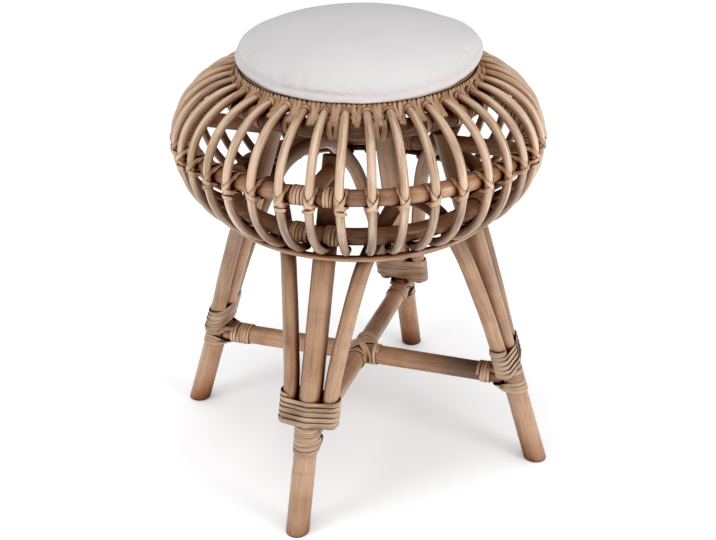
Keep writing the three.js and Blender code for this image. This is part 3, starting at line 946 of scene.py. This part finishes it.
coil(pile, [(0, 0, 11.15)], on_a, 15.5, 3.5, 3.5, 3.1, 1.2, phase=0.1, grow=0.15, seed=201)
coil(pile, [(0, 0, 11.15)], on_a, -20.0, 1.4, 4.2, 4.0, 1.1, phase=0.4, grow=0.15, seed=202)
coil(pile, [(0, 0, 11.15)], on_b, -23.5, 2.0, 4.6, 4.4, 1.15, phase=0.1, grow=0.15, seed=203)
coil(pile, [(0, 0, 11.15)], on_b, 15.0, 1.6, 4.4, 4.2, 1.1, phase=0.6, grow=0.15, seed=204)
pile.make("crossing_lashing", PEEL_CANE)


# ---------------------------------------------------------------- cushion: two discs of canvas sewn together and filled
CUSHION = [(0, 0), (60, 0), (108, 1.2), (120, 3.4), (127, 5.6), (129.5, 7.6), (129.0, 10.6), (127, 15.6), (123.2, 20.6),
           (116, 26.6), (103, 33.6), (85, 39.8), (60, 45.3), (30, 48.6), (0, 49.4)]
SEAM = 6.6  # place of the seam, counted in rows of the outline above


def edge_rise(r, turn):
    """How far the filling lifts or drops the edge of the cushion round its rim."""
    f = (np.degrees(turn) + 116.1 + 180) % 360 - 180
    a = np.radians(f)
    rise = 0.7 * np.sin(a) - 4.8 * np.cos(a) - 3.0 * np.cos(2 * a) + 6.5 * np.exp(-((f - 95) / 28) ** 2)
    return rise * (np.asarray(r) / 129.5) ** 8


def canvas():
    m, bsdf, node = graph("cushion_canvas")
    uv = node("Attribute", attribute_name="cloth").outputs["Vector"]
    part = node("SeparateXYZ", {0: uv})
    pitch = 2 * math.pi / 0.00085

    def thread(x):
        return calc(node, "SINE", calc(node, "MULTIPLY", x, pitch))

    x, y = part.outputs[0], part.outputs[1]
    over = calc(node, "MULTIPLY", thread(x), thread(y))
    slub = node("TexNoise", {"Vector": node("VectorMath", {0: uv, 1: (1, 0.05, 1)}, operation="MULTIPLY").outputs[0],
                             "Scale": 900.0, "Detail": 2.0}).outputs["Fac"]
    slub2 = node("TexNoise", {"Vector": node("VectorMath", {0: uv, 1: (0.05, 1, 1)}, operation="MULTIPLY").outputs[0],
                              "Scale": 900.0, "Detail": 2.0}).outputs["Fac"]
    tone = node("TexNoise", {"Vector": uv, "Scale": 14.0, "Detail": 3.0}).outputs["Fac"]
    colour = ramp(node, tone, [(0.3, (0.765, 0.75, 0.757)), (0.7, (0.80, 0.785, 0.792))])
    colour = mix(node, 1.0, colour, ramp(node, calc(node, "ADD", slub, slub2), [(0.35, 0.955), (0.65, 1.02)]), "MULTIPLY")
    colour = mix(node, 1.0, colour, ramp(node, spread(node, over, -1, 1, 0, 1), [(0.0, 0.955), (0.5, 1.0), (1.0, 1.01)]),
                 "MULTIPLY")
    # the light that reaches the cloth low down has come off the cane
    near = node("AmbientOcclusion", {"Distance": 0.03}, samples=8).outputs["AO"]
    warm = ramp(node, near, [(0.25, (0.70, 0.60, 0.53)), (0.55, (0.90, 0.855, 0.82)), (0.85, (1.0, 0.995, 0.99))])
    colour = mix(node, 1.0, colour, warm, "MULTIPLY")
    # painted shade: the cloth is darker and warmer where its surface faces down
    slope = node("SeparateXYZ", {0: node("NewGeometry").outputs["Normal"]}).outputs[2]
    painted_underside_shade = ramp(node, spread(node, slope, -0.4, 1.0, 0.0, 1.0),
                 [(0.15, (0.66, 0.57, 0.53)), (0.45, (0.86, 0.815, 0.80)), (0.72, (0.93, 0.915, 0.91)), (0.97, (1.0, 1.0, 1.0))])
    colour = mix(node, 1.0, colour, painted_underside_shade, "MULTIPLY")
    m.node_tree.links.new(colour, bsdf.inputs["Base Color"])
    bsdf.inputs["Roughness"].default_value = 0.88
    bsdf.inputs["Specular IOR Level"].default_value = 0.25
    bsdf.inputs["Sheen Weight"].default_value = 0.12
    bsdf.inputs["Sheen Roughness"].default_value = 0.6
    height = calc(node, "MULTIPLY_ADD", calc(node, "ADD", slub, slub2), 1.2, over)
    bump = node("Bump", {"Height": height, "Strength": 0.22, "Distance": 0.00012})
    m.node_tree.links.new(bump.outputs[0], bsdf.inputs["Normal"])
    return m


CANVAS = canvas()


def cushion_profile(t):
    """Radius and height over the seat at a place along the outline, 0 under the middle and 14 on top of it."""
    rows = smooth(np.array([(r, h, 0) for r, h in CUSHION], float), 24)
    at = np.clip(np.asarray(t, float), 0, len(CUSHION) - 1) * 24
    i = np.arange(len(rows))
    return np.interp(at, i, rows[:, 0]), np.interp(at, i, rows[:, 1])


def cushion_mesh(n=104):
    """Two squares of n by n faces, each bent into a disc, joined along their rims. Returns places, turns and faces."""
    g = np.linspace(-1, 1, n + 1)
    x, y = np.meshgrid(g, g, indexing="ij")
    # square to disc
    u, v = x * np.sqrt(1 - y * y / 2), y * np.sqrt(1 - x * x / 2)
    rad = np.hypot(u, v)
    phi = np.arctan2(v, u)
    points, place, turn, index = [], [], [], {}
    for sheet in (0, 1):
        for i in range(n + 1):
            for j in range(n + 1):
                edge = i in (0, n) or j in (0, n)
                key = ("e", i, j) if edge else (sheet, i, j)
                if key in index:
                    continue
                index[key] = len(points)
                f = 1.0 if edge else float(rad[i, j])
                place.append((f, sheet if not edge else 0.5))
                turn.append(float(phi[i, j]))
                points.append(None)
    faces = []
    for sheet in (0, 1):
        for i in range(n):
            for j in range(n):
                ks = [(i, j), (i + 1, j), (i + 1, j + 1), (i, j + 1)]
                f = [index[("e", a, b) if a in (0, n) or b in (0, n) else (sheet, a, b)] for a, b in ks]
                faces.append(f if sheet == 1 else f[::-1])
    return np.array(place), np.array(turn), faces


def outline_lengths():
    t = np.linspace(0, 14, 1401)
    r, h = cushion_profile(t)
    s = np.concatenate([[0], np.cumsum(np.hypot(np.diff(r), np.diff(h)))])
    return t, s


def make_cushion():
    place, turn, faces = cushion_mesh()
    t, s = outline_lengths()
    s_seam = np.interp(SEAM, t, s)
    # where each point sits along the outline
    under = place[:, 1] == 0
    along = np.where(under, place[:, 0] * s_seam, s[-1] - place[:, 0] * (s[-1] - s_seam))
    tt = np.interp(along, s, t)
    r, h = cushion_profile(tt)
    target = np.stack([r * np.cos(turn), r * np.sin(turn), h], 1)
    flat = np.where(under, place[:, 0] * s_seam, place[:, 0] * (s[-1] - s_seam))
    cloth = np.stack([flat * np.cos(turn), flat * np.sin(turn), np.where(under, 5.0, 0.0) + 0 * flat], 1) * K
    me = bpy.data.meshes.new("canvas_cushion")
    d = random.Random(77)
    rough = np.array([[d.uniform(-1, 1) for _ in range(3)] for _ in range(len(target))])
    start = target.copy()
    start[:, :2] *= 0.972
    start[:, 2] = 25.4 + (start[:, 2] - 25.4) * 0.86
    start += rough * 0.22
    me.from_pydata((start * K).tolist(), [], faces)
    me.attributes.new("cloth", "FLOAT_VECTOR", "POINT").data.foreach_set("vector", cloth.astype(np.float32).ravel())
    me.update()
    obj = bpy.data.objects.new("canvas_cushion", me)
    scene.collection.objects.link(obj)
    result = start.copy()
    # the thread of the seam is drawn tighter than the cloth, so the canvas gathers beside it
    group = obj.vertex_groups.new(name="seam")
    near = np.exp(-((along - s_seam) / 5.0) ** 2)
    for i, w in enumerate(near):
        if w > 0.02:
            group.add([i], float(w), "REPLACE")
    cloth_mod = obj.modifiers.new("cloth", "CLOTH")
    c = cloth_mod.settings
    c.quality = 8
    c.mass = 0.25
    c.tension_stiffness = c.compression_stiffness = 14
    c.shear_stiffness = 8
    c.bending_stiffness = 0.35
    c.use_pressure = True
    c.uniform_pressure_force = 4.0
    c.effector_weights.gravity = 0
    c.vertex_group_shrink = "seam"
    c.shrink_min = 0.0
    c.shrink_max = 0.16
    cloth_mod.collision_settings.use_collision = False
    cloth_mod.point_cache.frame_start, cloth_mod.point_cache.frame_end = 1, 22
    first = np.array([v.co for v in me.vertices])
    scene.frame_start, scene.frame_end = 1, 22
    for f in range(1, 21):
        scene.frame_set(f)
    dg = bpy.context.evaluated_depsgraph_get()
    got = obj.evaluated_get(dg).data
    now = np.zeros(len(me.vertices) * 3)
    got.vertices.foreach_get("co", now)
    now = now.reshape(-1, 3)
    move = now - first
    far = np.linalg.norm(move, axis=1, keepdims=True)
    now = first + move * np.minimum(1, 0.012 / np.maximum(far, 1e-9))
    obj.modifiers.remove(cloth_mod)
    obj.vertex_groups.clear()
    scene.frame_set(1)
    result = now / K
    # bring the filled shape to the cushion's real outline: its mean at each place along the outline moves there
    bins = np.round(along / 2.2).astype(int)
    mean_r, mean_h = np.zeros(bins.max() + 1), np.zeros(bins.max() + 1)
    rr = np.hypot(result[:, 0], result[:, 1])
    for b in range(bins.max() + 1):
        pick = bins == b
        if not pick.any():
            mean_r[b], mean_h[b] = np.nan, np.nan
            continue
        mean_r[b], mean_h[b] = rr[pick].mean(), result[pick, 2].mean()
    ok = ~np.isnan(mean_r)
    centre = np.arange(len(mean_r))[ok] * 2.2
    base_r, base_h = np.interp(along, centre, mean_r[ok]), np.interp(along, centre, mean_h[ok])
    # the gathers stay beside the seam, the middle is pulled smooth by the filling
    keep = 0.10 + 1.15 * np.exp(-((along - s_seam) / 20.0) ** 2)
    detail_r, detail_h = keep * (rr - base_r), keep * (result[:, 2] - base_h)
    ang = np.arctan2(result[:, 1], result[:, 0])
    new_r, new_h = r + detail_r, h + detail_h + edge_rise(r, turn)
    # the seam draws in a little, and short folds run up from it
    draw = np.exp(-((along - s_seam) / 2.6) ** 2)
    new_r = new_r - 1.2 * draw
    for _ in range(64):
        at, reach, deep = d.uniform(-math.pi, math.pi), d.uniform(6, 18), d.uniform(0.4, 1.7)
        off = (ang - at + math.pi) % (2 * math.pi) - math.pi + 0.0012 * d.uniform(-1, 1) * (along - s_seam)
        fold = deep * np.exp(-(off * 128 / d.uniform(1.2, 2.2)) ** 2) * np.exp(-((along - s_seam - 0.5 * reach) / (0.6 * reach)) ** 2)
        new_r, new_h = new_r - 0.6 * fold, new_h - 0.75 * fold
    new_h = np.where(under, np.maximum(new_h, 0.0), new_h)
    new_h = np.maximum(new_h, 0.02)
    # the loose cushion sits a little to one side
    final = np.stack([new_r * np.cos(ang) + 1.2, new_r * np.sin(ang) - 0.6, new_h + SEAT_Z], 1)
    me.vertices.foreach_set("co", (final * K).ravel())
    me.polygons.foreach_set("use_smooth", np.ones(len(me.polygons), bool))
    me.update()
    sub = obj.modifiers.new("fine", "SUBSURF")
    sub.levels = sub.render_levels = 1
    settle(obj, CANVAS, "cushion", ["cushion"])
    return obj


make_cushion()

# ---------------------------------------------------------------- floor and light
me = bpy.data.meshes.new("floor")
me.from_pydata([(-14, -14, 0), (14, -14, 0), (14, 14, 0), (-14, 14, 0)], [], [(0, 1, 2, 3)])
floor = bpy.data.objects.new("floor", me)
scene.collection.objects.link(floor)
m, bsdf, node = graph("floor_paper")
bsdf.inputs["Base Color"].default_value = (0.872, 0.885, 0.91, 1)
bsdf.inputs["Roughness"].default_value = 0.95
bsdf.inputs["Specular IOR Level"].default_value = 0.1
bsdf.inputs["Emission Color"].default_value = (1, 0.995, 0.99, 1)
# the floor glows to stay white; the glow drops where the AO finds the stool near, a painted shadow under and round it
shadow_ao = node("AmbientOcclusion", {"Distance": 0.55}, samples=8).outputs["AO"]
m.node_tree.links.new(spread(node, shadow_ao, 0.3, 1.0, 0.20, 0.50), bsdf.inputs["Emission Strength"])
me.materials.append(m)
floor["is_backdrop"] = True

world = bpy.data.worlds.new("studio")
scene.world = world
world.use_nodes = True
world.node_tree.nodes["Background"].inputs["Color"].default_value = (1, 1, 1, 1)
world.node_tree.nodes["Background"].inputs["Strength"].default_value = 0.13


def softbox(name, azimuth, elevation, distance, size, power, target=(0, 0, 0.3), colour=(1, 1, 1)):
    """azimuth 0 is behind the camera, positive to its right."""
    light = bpy.data.lights.new(name, "AREA")
    light.shape = "RECTANGLE"
    light.size, light.size_y = size
    light.energy = power
    light.color = colour
    obj = bpy.data.objects.new(name, light)
    scene.collection.objects.link(obj)
    a = math.radians(-90 + azimuth) + TURN
    e = math.radians(elevation)
    at = Vector(target) + distance * Vector((math.cos(a) * math.cos(e), math.sin(a) * math.cos(e), math.sin(e)))
    obj.location = at
    obj.rotation_euler = (Vector(target) - at).to_track_quat("-Z", "Y").to_euler()
    return obj


def daylight(name, azimuth, elevation, strength, spread_deg):
    light = bpy.data.lights.new(name, "SUN")
    light.energy = strength
    light.angle = math.radians(spread_deg)
    obj = bpy.data.objects.new(name, light)
    scene.collection.objects.link(obj)
    a = math.radians(-90 + azimuth) + TURN
    e = math.radians(elevation)
    d = Vector((math.cos(a) * math.cos(e), math.sin(a) * math.cos(e), math.sin(e)))
    obj.rotation_euler = d.to_track_quat("Z", "Y").to_euler()


daylight("ceiling", 4, 82, 1.40, 75)
softbox("left_box", -56, 28, 2.2, (0.7, 1.5), 11)
softbox("right_box", 52, 15, 2.2, (0.8, 1.4), 19)
softbox("front_box", 2, 34, 2.6, (0.7, 0.7), 4.5)
scene.view_settings.view_transform = "Standard"

# ---------------------------------------------------------------- sizes
low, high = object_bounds()
